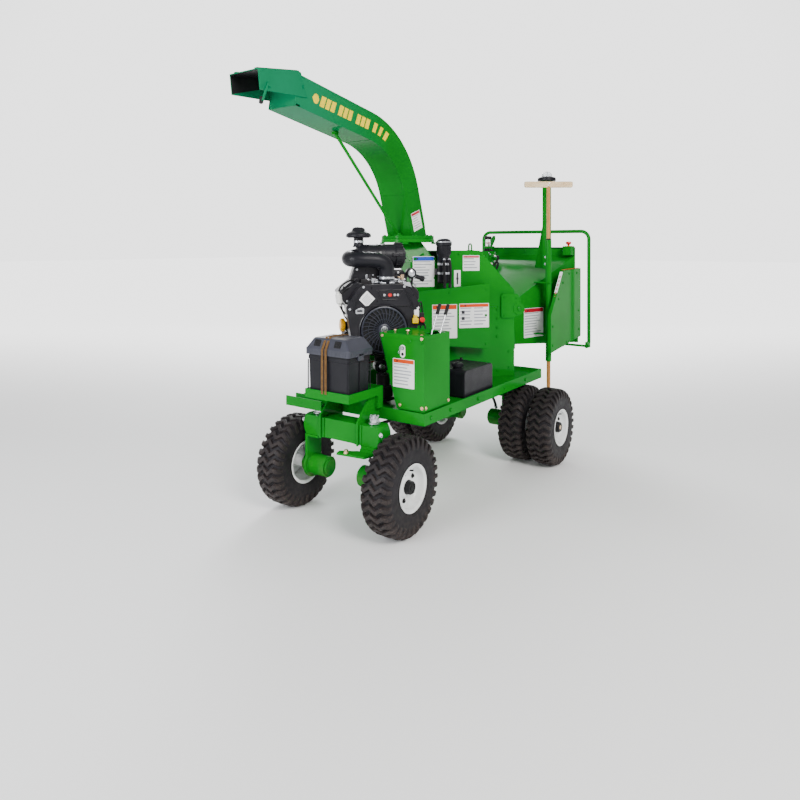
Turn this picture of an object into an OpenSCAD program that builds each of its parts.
// Self-propelled wood chipper: a wheeled deck with an engine and disc housing set at an angle,
// a feed hopper behind, and a discharge chute that swivels over the engine.
// +X points forward (battery end), +Y to the machine's left, +Z up. Millimetres.

/* [Wheels] */
// Outside diameter of the tyres
tyre_d = 475; // [440:1:500]
// Width of one tyre
tyre_w = 155; // [130:1:160]
// Distance between the axles
wheelbase = 1390; // [1340:1:1450]
// Distance from the centre line to the single and inner wheels
wheel_y = 340; // [335:1:350]
// Distance between the two wheels of a rear pair
dual_pitch = 190; // [180:1:200]
// Radius of the tyre seat on the rim
rim_r = 101.6; // [95:0.1:110]

/* [Deck] */
// Length of the deck
deck_l = 1440; // [1400:1:1480]
// Front edge of the deck from the middle of the wheelbase
deck_front = 580; // [570:1:590]
// Width of the deck
deck_w = 800; // [780:1:820]
// Height of the deck's top edge
deck_z = 561; // [550:1:580]
// Depth of the deck rail
rail_h = 61; // [50:1:70]

/* [Front axle] */
// Outside width of the square axle beam
beam_s = 100; // [90:1:104]
// Height of the beam's underside
beam_z = 405; // [400:1:410]
// Distance from the centre line to each kingpin
kingpin_y = 180; // [176:1:184]
// Kingpin radius
kingpin_r = 14; // [10:1:16]

/* [Engine and chipper unit] */
// Angle of the unit on the deck, seen from above
unit_turn = 40; // [38:1:42]
// Crankshaft place along the unit
crank_x = 290; // [285:1:300]
// Crankshaft height
crank_z = 924; // [915:1:930]
// Disc shaft place along the unit
disc_x = -330; // [-340:1:-320]
// Disc shaft height
disc_z = 930; // [920:1:940]
// Radius of the chipper disc
disc_r = 300; // [270:1:305]
// Near face of the disc housing, across the unit
house_y = -159; // [-162:1:-158]
// Depth of the disc housing
house_d = 221; // [215:1:230]
// Top of the disc housing
house_z = 1351; // [1340:1:1360]

/* [Chute] */
// Place of the chute's swivel axis, lengthways
swivel_x = -165; // [-170:1:-160]
// Place of the chute's swivel axis, crossways
swivel_y = -207; // [-210:1:-200]
// Height of the swivel flange's joint face
flange_z = 1425; // [1420:1:1430]
// Width of the chute
chute_w = 184; // [170:1:190]
// Depth of the chute
chute_d = 157; // [150:1:165]
// Bend radius of the chute's centre line
chute_r = 500; // [450:1:520]
// Front tip of the deflector from the middle of the wheelbase
front_reach = 1187; // [1180:1:1200]

/* [Hopper] */
// Crossways centre of the feed opening
feed_y = 40; // [35:1:45]
// Place of the throat, where the hopper meets the feed housing
throat_x = -870; // [-875:1:-868]
// Place of the hopper's mouth
mouth_x = -1500; // [-1510:1:-1490]
// Height of the mouth's upper edge
mouth_z = 1310; // [1300:1:1320]
// Rearmost point of the control bar from the middle of the wheelbase
rear_reach = 1550; // [1545:1:1560]

/* [Hidden] */
$fn = 64;

green = [0.03, 0.42, 0.09];
black = [0.05, 0.05, 0.06];
steel = [0.70, 0.71, 0.72];
origin_x = (rear_reach - front_reach) / 2;
axle_x = wheelbase / 2;
wheel_z = tyre_d / 2;
deck_rear = deck_front - deck_l;
floor_z = deck_z - 15;
run = 0.05;
gap = 0.5;
wall = 4;
far_y = house_y - house_d;
arm_l = 110;
spindle_r = 20;
motor_r = 52;

module place() translate([origin_x, 0, 0]) children();
module unit() place() rotate([0, 0, -unit_turn]) children();
module box(low, high) translate(low) cube(high - low);
module rod_x(x0, x1, r) translate([x0, 0, 0]) rotate([0, 90, 0]) cylinder(h = x1 - x0, r = r);
module rod_y(y0, y1, r) translate([0, y0, 0]) rotate([-90, 0, 0]) cylinder(h = y1 - y0, r = r);
module rod_z(z0, z1, r) translate([0, 0, z0]) cylinder(h = z1 - z0, r = r);
// A flat outline in X and Z, made solid from y0 to y1
module slab_y(y0, y1) translate([0, y1, 0]) rotate([90, 0, 0]) linear_extrude(y1 - y0) children();
// A round bar between two points
module bar(a, b, r) {
    d = b - a;
    translate(a) rotate([0, acos(d.z / norm(d)), atan2(d.y, d.x)]) cylinder(h = norm(d), r = r);
}
// Smooth curve through the points, n steps between each two
function curve(p, n) = [for (i = [0:len(p) - 2], s = [0:n - 1]) spline(p, i, s / n), p[len(p) - 1]];
function knot(p, i) = p[max(0, min(len(p) - 1, i))];
function spline(p, i, t) = 0.5 * (2 * knot(p, i) + (knot(p, i + 1) - knot(p, i - 1)) * t
    + (2 * knot(p, i - 1) - 5 * knot(p, i) + 4 * knot(p, i + 1) - knot(p, i + 2)) * t * t
    + (3 * knot(p, i) - knot(p, i - 1) - 3 * knot(p, i + 1) + knot(p, i + 2)) * t * t * t);
function unitv(v) = v / norm(v);
function side(d) = unitv(cross(d, abs(d.z) > 0.9 * norm(d) ? [0, 1, 0] : [0, 0, 1]));
function carry(n, d) = unitv(n - d * (n * d) / (d * d));
function frames(c, i, n) = i == len(c) ? [] :
    let (d = c[min(i + 1, len(c) - 1)] - c[max(i - 1, 0)], m = i == 0 ? side(d) : carry(n, d))
    concat([[m, unitv(cross(d, m))]], frames(c, i + 1, m));
// A round tube swept along a smooth route
module sweep(route, r, steps = 4, sides = 10) {
    c = curve(route, steps);
    f = frames(c, 0, [1, 0, 0]);
    pts = [for (i = [0:len(c) - 1], k = [0:sides - 1])
        c[i] + r * (cos(k * 360 / sides) * f[i][0] + sin(k * 360 / sides) * f[i][1])];
    last = (len(c) - 1) * sides;
    skin = [for (i = [0:len(c) - 2], k = [0:sides - 1])
        [i * sides + k, (i + 1) * sides + k, (i + 1) * sides + (k + 1) % sides,
            i * sides + (k + 1) % sides]];
    polyhedron(pts, concat(skin, [[for (k = [0:sides - 1]) k]],
        [[for (k = [0:sides - 1]) last + sides - 1 - k]]));
}

// ---- chassis ----
module rail_ring() {
    difference() {
        box([deck_rear, -deck_w / 2, deck_z - rail_h], [deck_front, deck_w / 2, deck_z]);
        box([deck_rear + 6, -deck_w / 2 + 6, deck_z - rail_h - 1],
            [deck_front - 6, deck_w / 2 - 6, deck_z + 1]);
    }
}
module deck_frame() {
    half = deck_w / 2 - 6;
    color(green) {
        place() {
            rail_ring();
            for (x = [deck_rear + 165, -260, 150, 480])
                box([x - 25, -half, deck_z - rail_h], [x + 25, half, floor_z - 6]);
            for (y = [-130, 130])
                box([deck_rear + 190, y - 20, deck_z - rail_h], [-285, y + 20, floor_z - 6]);
        }
        unit() {
            for (x = [120, 430]) box([x, -40, floor_z], [x + 8, 190, 766]);
            box([110, -45, 766], [448, 195, 775]);
        }
    }
}
module deck_plate() color(green) place()
    box([deck_rear + 6, -deck_w / 2 + 6, floor_z - 6], [deck_front - 6, deck_w / 2 - 6, floor_z]);
module gusset() polygon([[deck_front, 480], [735 + 22, beam_z - 5], [735 + 22, 515], [640, 648],
    [deck_front, 648]]);
module front_extension() {
    front = 852;
    color(green) place() {
        for (y = [-126, 116]) difference() {
            slab_y(y, y + 10) gusset();
            box([axle_x - beam_s / 2, y - 1, beam_z - 6],
                [axle_x + beam_s / 2, y + 11, beam_z + beam_s]);
        }
        box([deck_front, -126, deck_z - rail_h], [deck_front + 8, 126, 648]);
        // tray of angle iron under the battery box
        for (y = [-134, 142]) box([deck_front, y, 626], [front, y + 6, 670]);
        box([front - 6, -134, 626], [front, 148, 670]);
        box([deck_front, -134, 626], [deck_front + 6, 148, 670]);
        box([deck_front + 6, -128, 648], [front - 6, 142, 654]);
        box([deck_front, 116, deck_z], [deck_front + 40, 148, 626]);
        // open channel reaching out to the far side
        difference() {
            box([662, -376, 532], [742, -126, 582]);
            box([668, -377, 538], [736, -125, 583]);
        }
    }
}
module beam_end() {
    c = 22;
    h = beam_s / 2;
    intersection() {
        translate([-h, 0, -h]) cube([beam_s, 70, beam_s]);
        rotate([-90, 0, 0]) union() {
            cylinder(h = 70 - c, r = beam_s);
            translate([0, 0, 70 - c]) cylinder(h = c, r1 = h * 1.42, r2 = h * 1.42 - c * 1.3);
        }
    }
}
module front_axle_beam() color(green) place() difference() {
    translate([axle_x, 0, beam_z + beam_s / 2]) {
        box([-beam_s / 2, -180, -beam_s / 2], [beam_s / 2, 180, beam_s / 2]);
        translate([0, 180, 0]) beam_end();
        mirror([0, 1, 0]) translate([0, 180, 0]) beam_end();
        // square collars either side of the gussets
        for (y = [-142, -110, 100, 132])
            box([-beam_s / 2 - 6, y, -beam_s / 2], [beam_s / 2 + 6, y + 10, beam_s / 2]);
    }
    for (y = [-kingpin_y, kingpin_y])
        translate([axle_x, y, 0]) rod_z(beam_z - 1, beam_z + beam_s + 1, kingpin_r + run);
}

// Hydraulic wheel motor, its flange and its spindle, with the wheel to +Y
module wheel_drive() {
    rod_y(110, 215, motor_r);
    rod_y(100, 110, motor_r - 12);
    rod_y(215, 230, 69);
    rod_y(230, 262, motor_r - 4);
    rod_y(262, 350 - 340 + wheel_y, spindle_r);
}
module rear_axle() color(green) place() translate([-axle_x, 0, 0]) {
    top = deck_z - rail_h;
    for (s = [0, 1]) mirror([0, s, 0]) {
        translate([0, 0, wheel_z]) wheel_drive();
        translate([0, 0, wheel_z]) rod_y(250, wheel_y + dual_pitch + 10, spindle_r);
        box([-55, 215, wheel_z], [55, 230, top]);
        box([-55, 130, top - 12], [55, 215, top]);
    }
    box([-35, -215, top - 110], [35, 215, top - 40]);
}

// ---- steering ----
module knuckle(cylinder_arm) translate([axle_x, 0, 0]) {
    plate_z = beam_z - gap - 12;
    translate([0, 0, wheel_z]) wheel_drive();
    box([-55, 215, wheel_z], [55, 230, plate_z + 12]);
    difference() {
        union() {
            box([-55, 140, plate_z], [55, 230, plate_z + 12]);
            box([-arm_l, kingpin_y - 22, plate_z], [-55, kingpin_y + 22, plate_z + 12]);
            translate([-arm_l, kingpin_y, 0]) rod_z(plate_z, plate_z + 12, 22);
        }
        translate([-arm_l, kingpin_y, 0]) rod_z(plate_z - 1, plate_z + 13, 8 + run);
    }
    translate([0, kingpin_y, 0]) {
        rod_z(plate_z, beam_z + beam_s + gap, kingpin_r);
        rod_z(beam_z + beam_s + gap, beam_z + beam_s + 7, 25);
        translate([0, 0, beam_z + beam_s + 7]) cylinder(h = 16, r = 20, $fn = 6);
    }
    if (cylinder_arm) {
        translate([0, 0, plate_z - 22]) linear_extrude(10)
            polygon([[60, 230], [125, 215], [146, 62], [112, 52], [60, 140]]);
        box([40, 140, plate_z - 22], [62, 230, plate_z]);
        translate([128, 108, 0]) rod_z(plate_z - 12, plate_z - 3, 11);
    }
}
module left_knuckle() color(green) place() knuckle(true);
module right_knuckle() color(green) place() mirror([0, 1, 0]) knuckle(false);
module tie_rod() color(green) place() translate([axle_x - arm_l, 0, 0]) {
    top = beam_z - gap - 12 - gap;
    difference() {
        union() {
            box([-18, -kingpin_y, top - 12], [18, kingpin_y, top]);
            for (y = [-kingpin_y, kingpin_y]) translate([0, y, 0]) rod_z(top - 12, top, 18);
            for (y = [-kingpin_y, kingpin_y]) translate([0, y, 0]) rod_z(top, top + 13, 8);
        }
        // slot that the drive pin of the steering rod works in
        box([-2, 81, top - 13], [32, 99, top + 1]);
        box([-9, 81, top - 13], [0, 99, top + 1]);
    }
    // raised strap that closes the slot
    box([18, 72, top - 12], [30, 81, top]);
    box([18, 99, top - 12], [30, 108, top]);
    box([30, 72, top - 12], [38, 108, top]);
}
module steering_cylinder() color(green) place() translate([axle_x - 95, 0, 435]) difference() {
    union() {
        rod_y(-120, 25, 24);
        for (y = [-96, -10]) box([10, y, -22], [95 - beam_s / 2, y + 25, 22]);
    }
    rod_y(-121, 26, 10 + run);
}
module steering_rod() color(steel) place() translate([axle_x - 95, 0, 0]) {
    low = beam_z - gap - 24;
    translate([0, 0, 435]) rod_y(-165, 112, 10);
    translate([0, 82, 0]) box([-14, 0, low + gap + 12], [14, 16, 449]);
    translate([0, 90, 0]) rod_z(low, low + 18, 8);
}

// ---- wheels ----
module tyre() {
    r = tyre_d / 2;
    w = tyre_w / 2;
    color(black) rotate([-90, 0, 0]) rotate_extrude($fn = 96)
        polygon([[rim_r, -w + 12], [rim_r + 14, -w + 12], [rim_r + 16, -w + 7], [rim_r + 60, -w], [r - 42, -w],
            [r - 14, -w + 8], [r, -w + 28], [r, w - 28], [r - 14, w - 8], [r - 42, w],
            [rim_r + 60, w], [rim_r + 16, w - 7], [rim_r + 14, w - 12], [rim_r, w - 12]]);
}
// Steel rim, outer face towards +Y; hub_in and hub_out are the ends of its hub tube
module rim(hub_in, hub_out) {
    w = tyre_w / 2 - 12;
    color("white") difference() {
        union() {
            rotate([-90, 0, 0]) rotate_extrude($fn = 96) polygon([[rim_r - 4, -w], [rim_r, -w],
                [rim_r, w], [rim_r + 12, w], [rim_r + 12, w + 4], [rim_r - 4, w + 4]]);
            rotate([-90, 0, 0]) rotate_extrude($fn = 96) polygon([[rim_r - 4, -w], [rim_r - 4, -w - 4],
                [rim_r + 12, -w - 4], [rim_r + 12, -w], [rim_r, -w]]);
            rod_y(-2, 4, rim_r - 2);
            rod_y(hub_in, hub_out, 32);
            rod_y(4, 12, 46);
        }
        rod_y(hub_in - 1, hub_out + 1, spindle_r + run);
        for (a = [0:72:359]) rotate([0, a, 0]) translate([70, 0, 0]) rod_y(-5, 8, 8);
    }
}
module hub_cap(y) color(black) rod_y(y, y + 22, 30);
module front_wheel_tyre(s) place() mirror([0, s, 0]) translate([axle_x, wheel_y, wheel_z]) tyre();
module front_wheel_rim(s) place() mirror([0, s, 0]) translate([axle_x, wheel_y, wheel_z]) {
    rim(-62, 15);
    hub_cap(15);
}
module rear_wheel_tyres(s) place() mirror([0, s, 0])
    for (y = [0, dual_pitch]) translate([-axle_x, wheel_y + y, wheel_z]) tyre();
module rear_wheel_rims(s) place() mirror([0, s, 0]) translate([-axle_x, wheel_y, wheel_z]) {
    rim(-62, dual_pitch / 2);
    translate([0, dual_pitch, 0]) rim(-dual_pitch / 2, 15);
    translate([0, dual_pitch, 0]) hub_cap(15);
}
module front_left_tyre() front_wheel_tyre(0);
module front_left_rim() front_wheel_rim(0);
module front_right_tyre() front_wheel_tyre(1);
module front_right_rim() front_wheel_rim(1);
module rear_left_tyres() rear_wheel_tyres(0);
module rear_left_rims() rear_wheel_rims(0);
module rear_right_tyres() rear_wheel_tyres(1);
module rear_right_rims() rear_wheel_rims(1);

// ---- battery, tank and controls ----
battery = [[664, -126, 654], [842, 136, 843]];
module battery_box() color(black) place() box(battery[0], battery[1]);
module battery_lid() color(black) place() {
    low = battery[0];
    high = battery[1];
    z = high.z;
    box([low.x - 8, low.y - 10, z], [high.x + 8, high.y + 10, z + 26]);
    hull() {
        box([low.x - 8, low.y - 10, z + 26], [high.x + 8, high.y + 10, z + 27]);
        box([low.x + 22, low.y + 34, z + 82], [high.x - 22, high.y - 34, z + 84]);
    }
}
module battery_strap() color([0.45, 0.33, 0.2]) place() for (y = [-26, -4]) difference() {
    slab_y(y, y + 14) polygon([[651, 655], [855, 655], [855, 872], [822, 932], [684, 932],
        [651, 872]]);
    slab_y(y - 1, y + 15) polygon([[654, 653], [852, 653], [852, 871], [820.5, 928], [685.5, 928],
        [654, 871]]);
}
tank = [[-196, 145, 546], [138, 375, 698]];
module fuel_tank() color(black) place() {
    slab_y(tank[0].y, tank[1].y) polygon([[tank[0].x, floor_z], [tank[1].x, floor_z],
        [tank[1].x, tank[1].z - 16], [tank[1].x - 16, tank[1].z], [tank[0].x + 16, tank[1].z],
        [tank[0].x, tank[1].z - 16]]);
    translate([86, 300, 0]) rod_z(tank[1].z, tank[1].z + 10, 22);
}
module fuel_cap() color(black) place() translate([86, 300, tank[1].z + 10.3]) {
    rod_z(0, 22, 30);
    for (a = [0:45:359]) rotate([0, 0, a]) box([27, -5, 0], [34, 5, 20]);
}
panel = [[315, 113], [560, 385]];
panel_z = 934;
module panel_outline(t) polygon([[385 - t, deck_z - 1], [385 - t, panel_z - t],
    [113 + t * 1.3, panel_z - t], [220 + t, deck_z - 1]]);
module control_box() color(green) place() difference() {
    translate([panel[0].x, 0, 0]) rotate([90, 0, 90]) linear_extrude(panel[1].x - panel[0].x)
        panel_outline(0);
    translate([panel[0].x + wall, 0, 0]) rotate([90, 0, 90])
        linear_extrude(panel[1].x - panel[0].x - 2 * wall) translate([0, -2]) panel_outline(wall);
    // slot for the levers and hole for the key
    hull() for (x = [335, 425]) translate([x, 345, 0]) rod_z(panel_z - 6, panel_z + 1, 36);
    translate([0, 257, 868]) rod_x(panel[1].x - 6, panel[1].x + 1, 6.5);
}
lever_x = 445;
lever_z = 830;
lever_lean = 30;
module lever(y) color(steel) place() translate([lever_x, y, lever_z]) rotate([0, -lever_lean, 0]) {
    rod_z(0, 232, 4);
    rod_z(222, 283, 9);
    rod_y(-9, 9, 10);
}
module left_lever() lever(370);
module right_lever() lever(320);
module key() color(steel) place() translate([panel[1].x, 257, 868]) {
    rod_x(-10, 8, 6);
    box([8, -1.5, -11], [30, 1.5, 11]);
}

// ---- engine ----
module engine_block() color(black) unit() difference() {
    union() {
        box([155, -50, 775], [425, 200, 1010]);
        for (s = [-1, 1]) translate([crank_x, 75, crank_z]) rotate([0, s * 45, 0]) {
            box([-62, -95, 40], [62, 95, 200]);
            for (z = [60:22:180]) box([-80, -100, z], [80, 100, z + 8]);
            box([-70, -90, 200], [70, 90, 232]);
        }
        // muffler under the air cleaner, and carburettor between the cylinders
        translate([0, -5, 1190]) rod_x(130, 420, 42);
        box([235, 90, 1000], [345, 166, 1215]);
        // oil filter in front of the stand
        translate([crank_x + 10, 0, 722]) rod_y(190, 262, 38);
        box([crank_x - 20, 196, 700], [crank_x + 40, 210, 788]);
    }
    translate([crank_x, 0, crank_z]) rod_y(-60, 210, 14 + run);
}
module cowl_outline() polygon([[168, 790], [412, 790], [470, 870], [488, 985], [500, 1050],
    [440, 1140], [400, 1172], [180, 1172], [140, 1140], [80, 1050], [92, 985], [110, 870]]);
module blower_housing() color(black) unit() difference() {
    slab_y(200, 270) cowl_outline();
    translate([crank_x, 0, crank_z]) rod_y(205, 271, 132);
    translate([crank_x, 0, crank_z]) rod_y(199, 206, 30);
}
module debris_screen() color(black) unit() translate([crank_x, 0, crank_z]) {
    difference() {
        rod_y(262, 274, 128);
        rod_y(261, 275, 118);
    }
    rod_y(262, 266, 120);
    for (a = [0:15:359]) rotate([0, a, 0]) box([30, 266, -1.5], [119, 272, 1.5]);
    rod_y(262, 280, 32);
}
module pulley(r) difference() {
    rod_y(-138, -72, r);
    for (y = [-128, -106, -84]) translate([0, y - 3, 0]) rotate([-90, 0, 0])
        rotate_extrude() translate([r - 5, 0]) square([6, 6]);
}
module crankshaft() color(steel) unit() translate([crank_x, 0, crank_z]) {
    rod_y(-142, 262, 14);
    pulley(60);
}
module air_cleaner() color(black) unit() {
    // canister with its end cap, and the rain cap on its stem
    translate([0, 110, 1325]) {
        rod_x(150, 414, 66);
        rod_x(142, 200, 70);
        rod_x(134, 142, 52);
    }
    translate([400, 110, 0]) {
        rod_z(1380, 1436, 27);
        translate([0, 0, 1436]) cylinder(h = 26, r1 = 69, r2 = 66);
        translate([0, 0, 1462]) cylinder(h = 26, r1 = 60, r2 = 26);
    }
    // intake pipe that curls round in front and drops to the carburettor
    sweep([[414, 110, 1300], [446, 130, 1290], [462, 180, 1280], [430, 222, 1278], [370, 230, 1278],
        [310, 230, 1276], [272, 226, 1262], [262, 220, 1230], [262, 214, 1196]], 40, 3, 12);
}
module hoses() color(black) unit() {
    sweep([[-197, -58, 1296], [-199, -44, 1276], [-205, -50, 1220], [-205, -58, 1170],
        [-204, -60, 1126]], 8, 3, 8);
    sweep([[-163, -58, 1296], [-160, -44, 1274], [-164, -50, 1222], [-169, -58, 1172],
        [-170, -60, 1123]], 8, 3, 8);
    // fuel line with its round filter, beside the engine
    sweep([[500, 230, 1010], [528, 236, 1060], [536, 238, 1110], [520, 226, 1160],
        [470, 205, 1190], [420, 195, 1200]], 5, 3, 8);
    bar([529, 236, 1065], [538, 238, 1125], 17);
    // hydraulic lines under the deck to the wheel motors
    for (y = [150, -150]) rotate([0, 0, unit_turn])
        sweep([[axle_x - 165, y / 5, 446], [axle_x - 190, y / 4, 440], [480, y / 3, 436],
            [300, y / 2, 440], [-300, y, 440], [-600, y, 400], [-axle_x, y, 300]], 9, 4, 8);
}

// ---- chipper ----
module guard_outline(t) polygon([[-466 + t, 740 + t], [-466 + t, 1142 - t], [395 - t, 1062 - t],
    [395 - t, 838 + t], [-207, 765 + t]]);
module belt_guard() color(green) unit() {
    difference() {
        slab_y(-157, -60) guard_outline(0);
        slab_y(-158, -63) guard_outline(3);
        translate([crank_x, 0, crank_z]) rod_y(-64, -59, 18);
    }
    difference() {
        slab_y(-157, -154) intersection() {
            guard_outline(1);
            translate([25, 700]) square([400, 500]);
        }
        translate([crank_x, 0, crank_z]) rod_y(-158, -153, 18);
    }
    slab_y(-75, -60) polygon([[-466, 1142], [395, 1062], [395, 1067], [-466, 1147]]);
}
// Outline round both pulleys, t outside their rims
function lean() = asin((110 - 60) / norm([crank_x - disc_x, crank_z - disc_z]));
module belt_outline(t) {
    base = atan2(crank_z - disc_z, crank_x - disc_x);
    up = base + 90 - lean();
    down = base - 90 + lean();
    translate([disc_x, disc_z]) circle(r = 110 + t, $fn = 96);
    translate([crank_x, crank_z]) circle(r = 60 + t, $fn = 96);
    polygon([for (q = [[up, disc_x, disc_z, 110], [up, crank_x, crank_z, 60],
        [down, crank_x, crank_z, 60], [down, disc_x, disc_z, 110]])
        [q[1] + (q[3] + t) * cos(q[0]), q[2] + (q[3] + t) * sin(q[0])]]);
}
module drive_belts() color(black) unit() for (y = [-125, -103, -81]) difference() {
    slab_y(y - 6, y + 6) belt_outline(8);
    slab_y(y - 7, y + 7) belt_outline(0.4);
}
seam_z = 990;
module house_outline(t) polygon([[-678 + t, floor_z + t], [20 - t, floor_z + t],
    [20 - t, house_z - t], [-439, house_z - t], [-678 + t, 1096 - t / 2]]);
module hood_cut(t) polygon([[-700, seam_z - t], [-156 + t, seam_z - t], [-156 + t, 1400],
    [-700, 1400]]);
// Rectangle-to-rectangle neck from the housing top to the swivel flange
module neck(t) hull() {
    box([-150 + t, far_y + 4 + t, 1276], [18 - t, house_y - 4 - t, 1280]);
    box([-62 + t, -330 + t, 1402], [76 - t, -196 - t, 1404.5]);
}
module feed_port() box([-640, far_y - 8, 735], [-420, far_y + 20, 1005]);
module disc_housing() color(green) {
    unit() {
        difference() {
            slab_y(far_y, house_y) house_outline(0);
            slab_y(far_y + wall, house_y - wall) house_outline(wall);
            slab_y(far_y - 1, house_y + 1) hood_cut(0);
            box([-156, far_y - 1, 1280], [21, house_y + 1, 1400]);
            feed_port();
            translate([disc_x, 0, disc_z]) rod_y(far_y - 1, house_y + 1, 34);
        }
        difference() {
            neck(0);
            hull() {
                box([-145, far_y + 9, 1275], [13, house_y - 9, 1280]);
                box([-57, -325, 1402], [71, -201, 1406]);
            }
        }
        // hinge lugs for the hood
        for (y = [-196, -370]) translate([-705, 0, 975]) difference() {
            union() {
                rod_y(y, y + 12, 26);
                box([0, y, -26], [27, y + 12, 10]);
            }
            rod_y(y - 1, y + 13, 8 + run);
        }
    }
    place() translate([swivel_x, swivel_y, 0]) difference() {
        rod_z(flange_z - 21, flange_z, 165);
        rod_z(flange_z - 22, flange_z + 1, 118);
    }
}
module housing_hood() color(green) unit() {
    difference() {
        intersection() {
            slab_y(far_y, house_y) house_outline(0);
            slab_y(far_y - 1, house_y + 1) hood_cut(-1);
        }
        slab_y(far_y + wall, house_y - wall) house_outline(wall);
    }
    // hinge knuckles and pin
    translate([-705, 0, 975]) {
        rod_y(-376, -150, 8);
        for (y = [-183, -357]) {
            rod_y(y, y + 24, 18);
            box([0, y, 16], [28, y + 24, 60]);
            box([-8, y, 8], [14, y + 24, 30]);
        }
        rod_y(-158, -150, 16);
    }
    box([-720, -158, 952], [-600, -152, 1052]);
}
module bearing(y0, y1) translate([disc_x, 0, disc_z]) difference() {
    union() {
        rod_y(y0, y1, 50);
        for (a = [45:90:359]) rotate([0, a, 0]) translate([62, 0, 0])
            rod_y(y0 < far_y ? y1 - 12 : y0, y0 < far_y ? y1 : y0 + 8, 17);
        rotate([0, 45, 0]) box([-62, y0 < far_y ? y1 - 12 : y0, -17],
            [62, y0 < far_y ? y1 : y0 + 8, 17]);
        rotate([0, -45, 0]) box([-62, y0 < far_y ? y1 - 12 : y0, -17],
            [62, y0 < far_y ? y1 : y0 + 8, 17]);
    }
    rod_y(y0 - 1, y1 + 1, 25 + run);
}
module rotor_bearings() color(steel) unit() {
    bearing(house_y, house_y + 18);
    bearing(far_y - 34, far_y);
}
module chipper_disc() color(steel) unit() translate([disc_x, 0, disc_z]) {
    rod_y(far_y - 40, -70, 25);
    rod_y(-345, -318, disc_r);
    rod_y(-318, -300, 70);
    // throwing paddles on the near side, knives on the feed side
    for (a = [0:90:359]) rotate([0, a, 0]) {
        box([90, -318, -5], [290, -190, 5]);
        box([90, -353, -22], [280, -345, 22]);
    }
    pulley(110);
}

// ---- feed ----
throat = [[-125, 705], [205, 1010]];
// Feed housing plan: square to the hopper, slanted where it meets the disc housing
function slant_x(y, t) = (far_y - 1 - t - y * cos(unit_turn)) / sin(unit_turn);
// A cross wall, square to the disc housing, keeps the far corner clear of the disc's bearing
cross_x = -405;
function cross_wall_x(y, t) = (cross_x - t + y * sin(unit_turn)) / cos(unit_turn);
corner_y = cross_x * -sin(unit_turn) + (far_y - 1) * cos(unit_turn);
module feed_plan(t) polygon([[throat_x + 1, throat[0].x + t],
    [cross_wall_x(throat[0].x + t, t), throat[0].x + t],
    [cross_wall_x(corner_y, t) - t, corner_y], [slant_x(throat[1].x - t, t), throat[1].x - t],
    [throat_x + 1, throat[1].x - t]]);
feed_low = 675;
feed_high = 1020;
roller_x = -785;
roller_z = [745, 885];
roller_r = 60;
arm_pin = [-655, 965];
module feed_housing() color(green) {
    place() difference() {
        translate([0, 0, feed_low]) linear_extrude(feed_high - feed_low) feed_plan(0);
        translate([0, 0, feed_low + wall]) linear_extrude(feed_high - feed_low - 2 * wall)
            feed_plan(wall);
        box([throat_x - 5, throat[0].x + wall, throat[0].y + wall],
            [throat_x + 30, throat[1].x - wall, throat[1].y - wall]);
        translate([roller_x, 0, roller_z[0]])
            rod_y(throat[0].x - 1, throat[0].x + wall + 1, 15 + run);
        rotate([0, 0, -unit_turn]) feed_port();
        // slot for the upper roller's shaft as its arm lifts
        box([roller_x - 42, throat[0].x - 1, roller_z[1] - 30],
            [roller_x + 26, throat[0].x + wall + 1, roller_z[1] + 100]);
    }
    place() {
        // motor of the lower roller, and the pin that the roller arm turns on
        translate([roller_x, 0, roller_z[0]]) difference() {
            rod_y(-225, throat[0].x, 40);
            rod_y(-170, throat[0].x + 1, 16);
        }
        translate([arm_pin.x, 0, arm_pin[1]]) {
            rod_y(-150, throat[0].x, 17);
            rod_y(-170, -150, 9);
            rod_y(-174, -170, 14);
        }
    }
    // legs to the deck
    place() for (y = [-120, 40]) box([-720, y, floor_z], [-690, y + 30, feed_low]);
}
// Toothed feed roller with its shaft through the far side wall, where its motor sits
module roller(z) translate([roller_x, 0, z]) {
    rod_y(-118, 70, 50);
    for (a = [0:30:359]) rotate([0, a, 0]) box([46, -114, -3], [roller_r, 66, 3]);
    rod_y(-168, -118, 15);
}
module upper_roller() color(steel) place() roller(roller_z[1]);
module lower_roller() color(steel) place() roller(roller_z[0]);
module roller_arm() color(green) place() {
    // motor carrier outside the far side wall, hinged ahead of the rollers
    z = roller_z[1];
    difference() {
        union() {
            translate([roller_x, 0, z]) rod_y(-166, -154, 44);
            slab_y(-166, -154) polygon([[roller_x, z + 44], [roller_x, z - 44],
                [arm_pin.x, arm_pin[1] - 19], [arm_pin.x, arm_pin[1] + 19]]);
            translate([arm_pin.x, 0, arm_pin[1]]) rod_y(-166, -154, 19);
        }
        translate([roller_x, 0, z]) rod_y(-167, -153, 15 + run);
        translate([arm_pin.x, 0, arm_pin[1]]) rod_y(-167, -153, 9 + run);
    }
    translate([roller_x, 0, z]) difference() {
        rod_y(-240, -166, 42);
        rod_y(-172, -165, 16);
    }
}
module slope(x, low, high) box([x, low[0], low[1]], [x + 1, high[0], high[1]]);
module funnel(t) hull() {
    slope(throat_x - (t > 0 ? -1 : 0), throat[0] + [t, t], throat[1] - [t, t]);
    slope(mouth_x - (t > 0 ? 1 : 0), [-320 + t, 660 + t], [400 - t, mouth_z - t]);
}
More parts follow.
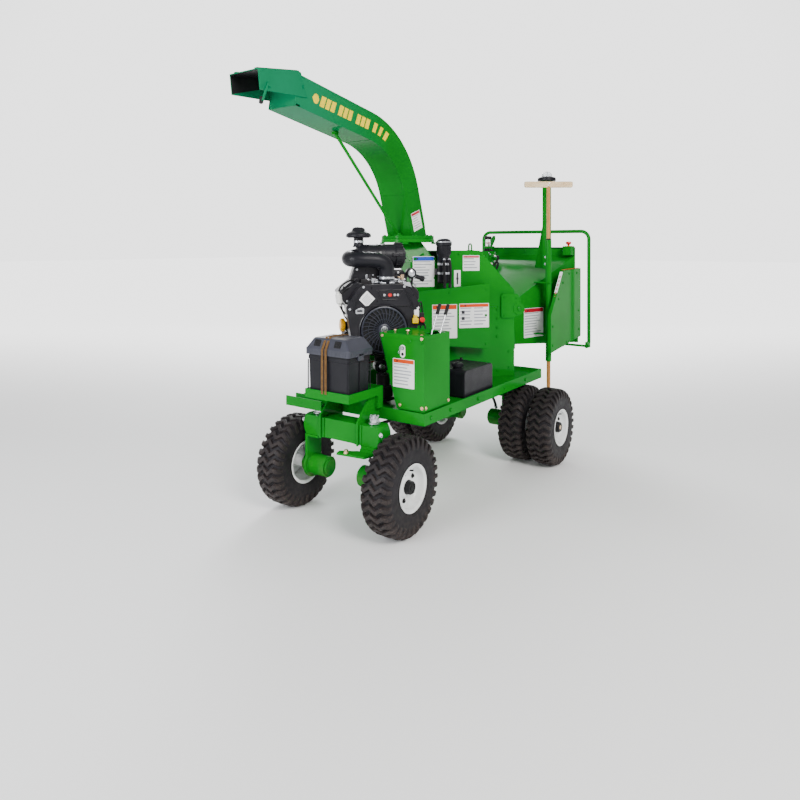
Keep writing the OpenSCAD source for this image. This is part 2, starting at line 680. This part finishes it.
module feed_hopper() color(green) place() {
    difference() {
        funnel(0);
        funnel(wall);
    }
    // upright lip and turned edges round the mouth
    box([mouth_x, -320, mouth_z - 8], [mouth_x + 5, 400, mouth_z + 55]);
    box([mouth_x, 400, 660], [mouth_x + 5, 423, 1198]);
    box([mouth_x, -343, 660], [mouth_x + 5, -320, 1198]);
    // lugs for the control bar's shaft
    for (y = [-250, 300]) difference() {
        box([pivot[0] - 18, y, pivot[1] - 18], [pivot[0] + 18, y + 12, 664]);
        translate([pivot[0], 0, pivot[1]]) rod_y(y - 1, y + 13, 9 + run);
    }
}
// Side plate with one bent edge that runs up its slanted front and along its top
module guard_panel(y, inner) {
    rear = mouth_x - 40;
    slab_y(y, y + 4) polygon([[-961, 652], [-961, 905], [-1190, 1203], [rear, 1210], [rear, 705]]);
    slab_y(min(y, inner), max(y + 4, inner)) polygon([[-961, 652], [-957, 652], [-957, 906.4],
        [-1188, 1207], [rear, 1214], [rear, 1210], [-1190, 1203], [-961, 905]]);
}
module hopper_guards() color(green) place() {
    guard_panel(424, 404);
    guard_panel(-348, -324);
}
pivot = [mouth_x + 10, 640];
bar_x = -rear_reach + 13;
module control_bar() color(green) place() {
    near = 491;
    far = -386;
    top = 1490;
    bend = 60;
    for (y = [near, far]) translate([bar_x, y, 0]) rod_z(pivot[1] + 20, top - bend, 13);
    translate([bar_x, 0, top]) rod_y(far + bend, near - bend, 13);
    translate([bar_x, near - bend, top - bend]) rotate([90, 0, 90]) rotate_extrude(angle = 90)
        translate([bend, 0]) circle(r = 13, $fn = 32);
    translate([bar_x, far + bend, top - bend]) rotate([90, 0, 90]) rotate([0, 0, 90])
        rotate_extrude(angle = 90) translate([bend, 0]) circle(r = 13, $fn = 32);
    // feet to the pivot shaft under the hopper
    for (y = [near - 8, far - 8]) box([bar_x - 13, y, pivot[1] - 14], [pivot[0] + 14, y + 16,
        pivot[1] + 30]);
    translate([pivot[0], 0, pivot[1]]) rod_y(far, near, 9);
    // flat link arm beside the valve
    box([bar_x + 5, -250, top - 12], [bar_x + 40, -90, top - 4]);
}

// ---- hydraulics ----
module valve_block() color(green) place() {
    box([-1300, -240, 1225], [-1180, -160, 1340]);
    for (x = [-1285, -1250, -1215]) translate([x, -200, 0]) rod_z(1340, 1375, 13);
    for (z = [1262, 1300]) translate([-1240, 0, z]) rod_y(-160, -142, 12);
    // bracket plate up to the link arm
    slab_y(-262, -256) polygon([[-1300, 1240], [-1240, 1240], [-1450, 1462], [-1490, 1462],
        [-1490, 1430]]);
    box([-1300, -262, 1235], [-1250, -236, 1245]);
}
module hydraulic_filter() color(black) unit() translate([-181, -108, 0]) {
    rod_z(1150, 1345, 38);
    rod_z(1345, 1385, 44);
    translate([0, 0, 1385]) cylinder(h = 18, r = 50);
    translate([0, 0, 1403]) cylinder(h = 24, r1 = 46, r2 = 22);
    box([-20, 25, 1285], [24, 44, 1310]);
    box([20, -48, 1200], [44, -10, 1240]);
}
module hydraulic_tank() color(green) place() {
    box([-80, -385, floor_z], [190, -275, 740]);
    translate([20, -330, 0]) rod_z(740, 762, 26);
}

// ---- paddle, beacon and stop buttons ----
paddle_at = [-1075, 362];
module paddle_holder() color(green) place() {
    difference() {
        translate(paddle_at) rod_z(577, 1422, 20);
        translate(paddle_at) rod_z(576, 1423, 16);
    }
    for (z = [760, 1120]) difference() {
        box([paddle_at.x - 26, 262, z], [paddle_at.x + 26, 382, z + 8]);
        translate(paddle_at) rod_z(z - 1, z + 9, 20);
        funnel(0);
    }
}
module push_paddle() color([0.80, 0.60, 0.35]) place() translate(paddle_at) {
    rod_z(388, 1800, 13.5);
    rod_z(1423, 1432, 19);
    rotate([0, 0, 125]) difference() {
        box([-168, -11, 1788], [168, 11, 1830]);
        for (x = [-168, 168]) translate([x, 0, 0]) box([-8, -12, 1787], [8, 12, 1796]);
    }
}
post_at = [-1215, 292];
module beacon_post() color(green) place() {
    translate(post_at) {
        difference() {
            box([-24, -24, 1216], [24, 24, 1836]);
            box([-20, -20, 1230], [20, 20, 1837]);
        }
        rotate([90, 0, 90]) linear_extrude(5) polygon([[-24, 1222], [-92, 1222], [-24, 1560]]);
        rod_z(1836, 1846, 46);
    }
}
module beacon() color([0.85, 0.86, 0.88]) place() translate(post_at) {
    rod_z(1846, 1880, 63);
    translate([0, 0, 1880]) rotate_extrude() polygon([[0, 0], [35, 0], [34, 16], [28, 28], [16, 34],
        [0, 36]]);
}
module estop_box(y) translate([mouth_x, y, 0]) {
    difference() {
        box([5, -32, 1312], [75, 32, 1378]);
        translate([38, 0, 0]) rod_z(1340, 1379, 7 + run);
    }
}
module estop_boxes() color(green) place() {
    estop_box(362);
    estop_box(-300);
}
module estop(y) color("red") place() translate([mouth_x + 38, y, 0]) {
    rod_z(1352, 1392, 7);
    translate([0, 0, 1392]) cylinder(h = 22, r1 = 12, r2 = 21);
}
module left_estop() estop(362);
module right_estop() estop(-300);
module body_bolts() color([0.75, 0.6, 0.3]) {
    place() {
        for (y = [300, 372]) translate([0, y, 905]) rod_x(panel[1].x, panel[1].x + 7, 7);
        for (x = [-600, -300, 30, 330, 520], s = [0, 1]) mirror([0, s, 0])
            translate([x, 0, deck_z - 30]) rod_y(deck_w / 2, deck_w / 2 + 6, 8);
    }
    unit() for (z = [800:58:974]) translate([-560, 0, z]) rod_y(house_y, house_y + 6, 7);
}

// ---- chute ----
chute_lean = 72;
chute_rise = 8.5;
base_run = 305;
turn = chute_lean - chute_rise;
bend_c = [base_run * cos(chute_lean) + chute_r * sin(chute_lean),
    base_run * sin(chute_lean) - chute_r * cos(chute_lean)];
tip_run = 608;
// Height of the deflector's hinge over the chute's end
hinge_up = 10;
bend_end = [bend_c.x - chute_r * sin(chute_rise), bend_c.y + chute_r * cos(chute_rise)];
tip = bend_end + tip_run * [cos(chute_rise), sin(chute_rise)];
module section(t) square([chute_d - 2 * t, chute_w - 2 * t], center = true);
module chute_solid(t) {
    rotate([0, 90 - chute_lean, 0]) translate([0, 0, -60 - t])
        linear_extrude(base_run + 60 + t) section(t);
    translate([bend_c.x, 0, bend_c.y]) rotate([90, 0, 0]) rotate([0, 0, 90 + chute_rise])
        rotate_extrude(angle = turn, $fn = 128) translate([chute_r, 0])
        section(t);
    translate([bend_end.x, 0, bend_end.y]) rotate([0, 90 - chute_rise, 0]) translate([0, 0, 0])
        linear_extrude(tip_run + t) section(t);
}
module at_swivel() place() translate([swivel_x, swivel_y, flange_z]) children();
module discharge_chute() color(green) at_swivel() {
    difference() {
        union() {
            chute_solid(0);
            rod_z(gap, 18, 165);
        }
        chute_solid(3);
        translate([0, 0, -100 + gap]) cube([600, 600, 200], center = true);
    }
    // hinge leaves of the deflector at the tip
    for (y = [-60, 36]) translate([tip.x - 12, 0, tip.y + chute_d / 2 + hinge_up]) {
        difference() {
            union() {
                rod_y(y, y + 24, 9);
                box([-30, y, -15], [0, y + 24, 2]);
            }
            rod_y(y - 1, y + 25, 5 + run);
        }
    }
}
module chute_brace() color(green) at_swivel() {
    bar([112, 0, 26], [704, 0, 571], 9);
    box([96, -16, 18], [124, 16, 34]);
    box([690, -14, 562], [716, 14, 579]);
}
module deflector() color(green) place() {
    hinge = [swivel_x + tip.x - 12, flange_z + tip.y + chute_d / 2 + hinge_up];
    w = chute_w / 2 + 2;
    roof = [[hinge.x + 14, hinge.y + 4], [front_reach, hinge.y - 42]];
    translate([0, swivel_y, 0]) {
        slab_y(-w - 3, w + 3) polygon([roof[0], roof[1], roof[1] - [0.5, 4], roof[0] - [0, 4]]);
        for (y = [-w - 3, w]) slab_y(y, y + 3) polygon([[hinge.x - 60, hinge.y - 118],
            [hinge.x - 14, hinge.y - 2], roof[0], roof[1], [front_reach - 12, hinge.y - 138]]);
        translate([hinge.x, 0, hinge.y]) {
            rod_y(-w, w, 5);
            for (y = [-33, -8, 63]) rod_y(y, y + 15, 9);
            for (y = [-33, -8, 63]) box([0, y, 0], [20, y + 15, 5]);
        }
        // handle under the near side plate, and a stay on the roof
        bar([front_reach - 60, w + 6, hinge.y - 100], [front_reach - 20, w + 10, hinge.y - 190], 6);
        translate([front_reach - 66, 0, hinge.y - 108]) rod_y(w, w + 12, 8);
    }
}

deck_frame();
deck_plate();
front_extension();
front_axle_beam();
rear_axle();
battery_box();
battery_lid();
battery_strap();
fuel_tank();
fuel_cap();
control_box();
left_lever();
right_lever();
key();
engine_block();
blower_housing();
debris_screen();
crankshaft();
air_cleaner();
hoses();
belt_guard();
drive_belts();
disc_housing();
housing_hood();
rotor_bearings();
chipper_disc();
feed_housing();
roller_arm();
upper_roller();
lower_roller();
feed_hopper();
hopper_guards();
control_bar();
valve_block();
hydraulic_filter();
hydraulic_tank();
paddle_holder();
push_paddle();
beacon_post();
beacon();
estop_boxes();
left_estop();
right_estop();
body_bolts();
steering_cylinder();
steering_rod();
tie_rod();
left_knuckle();
right_knuckle();
front_left_tyre();
front_left_rim();
front_right_tyre();
front_right_rim();
rear_left_tyres();
rear_left_rims();
rear_right_tyres();
rear_right_rims();
discharge_chute();
chute_brace();
deflector();
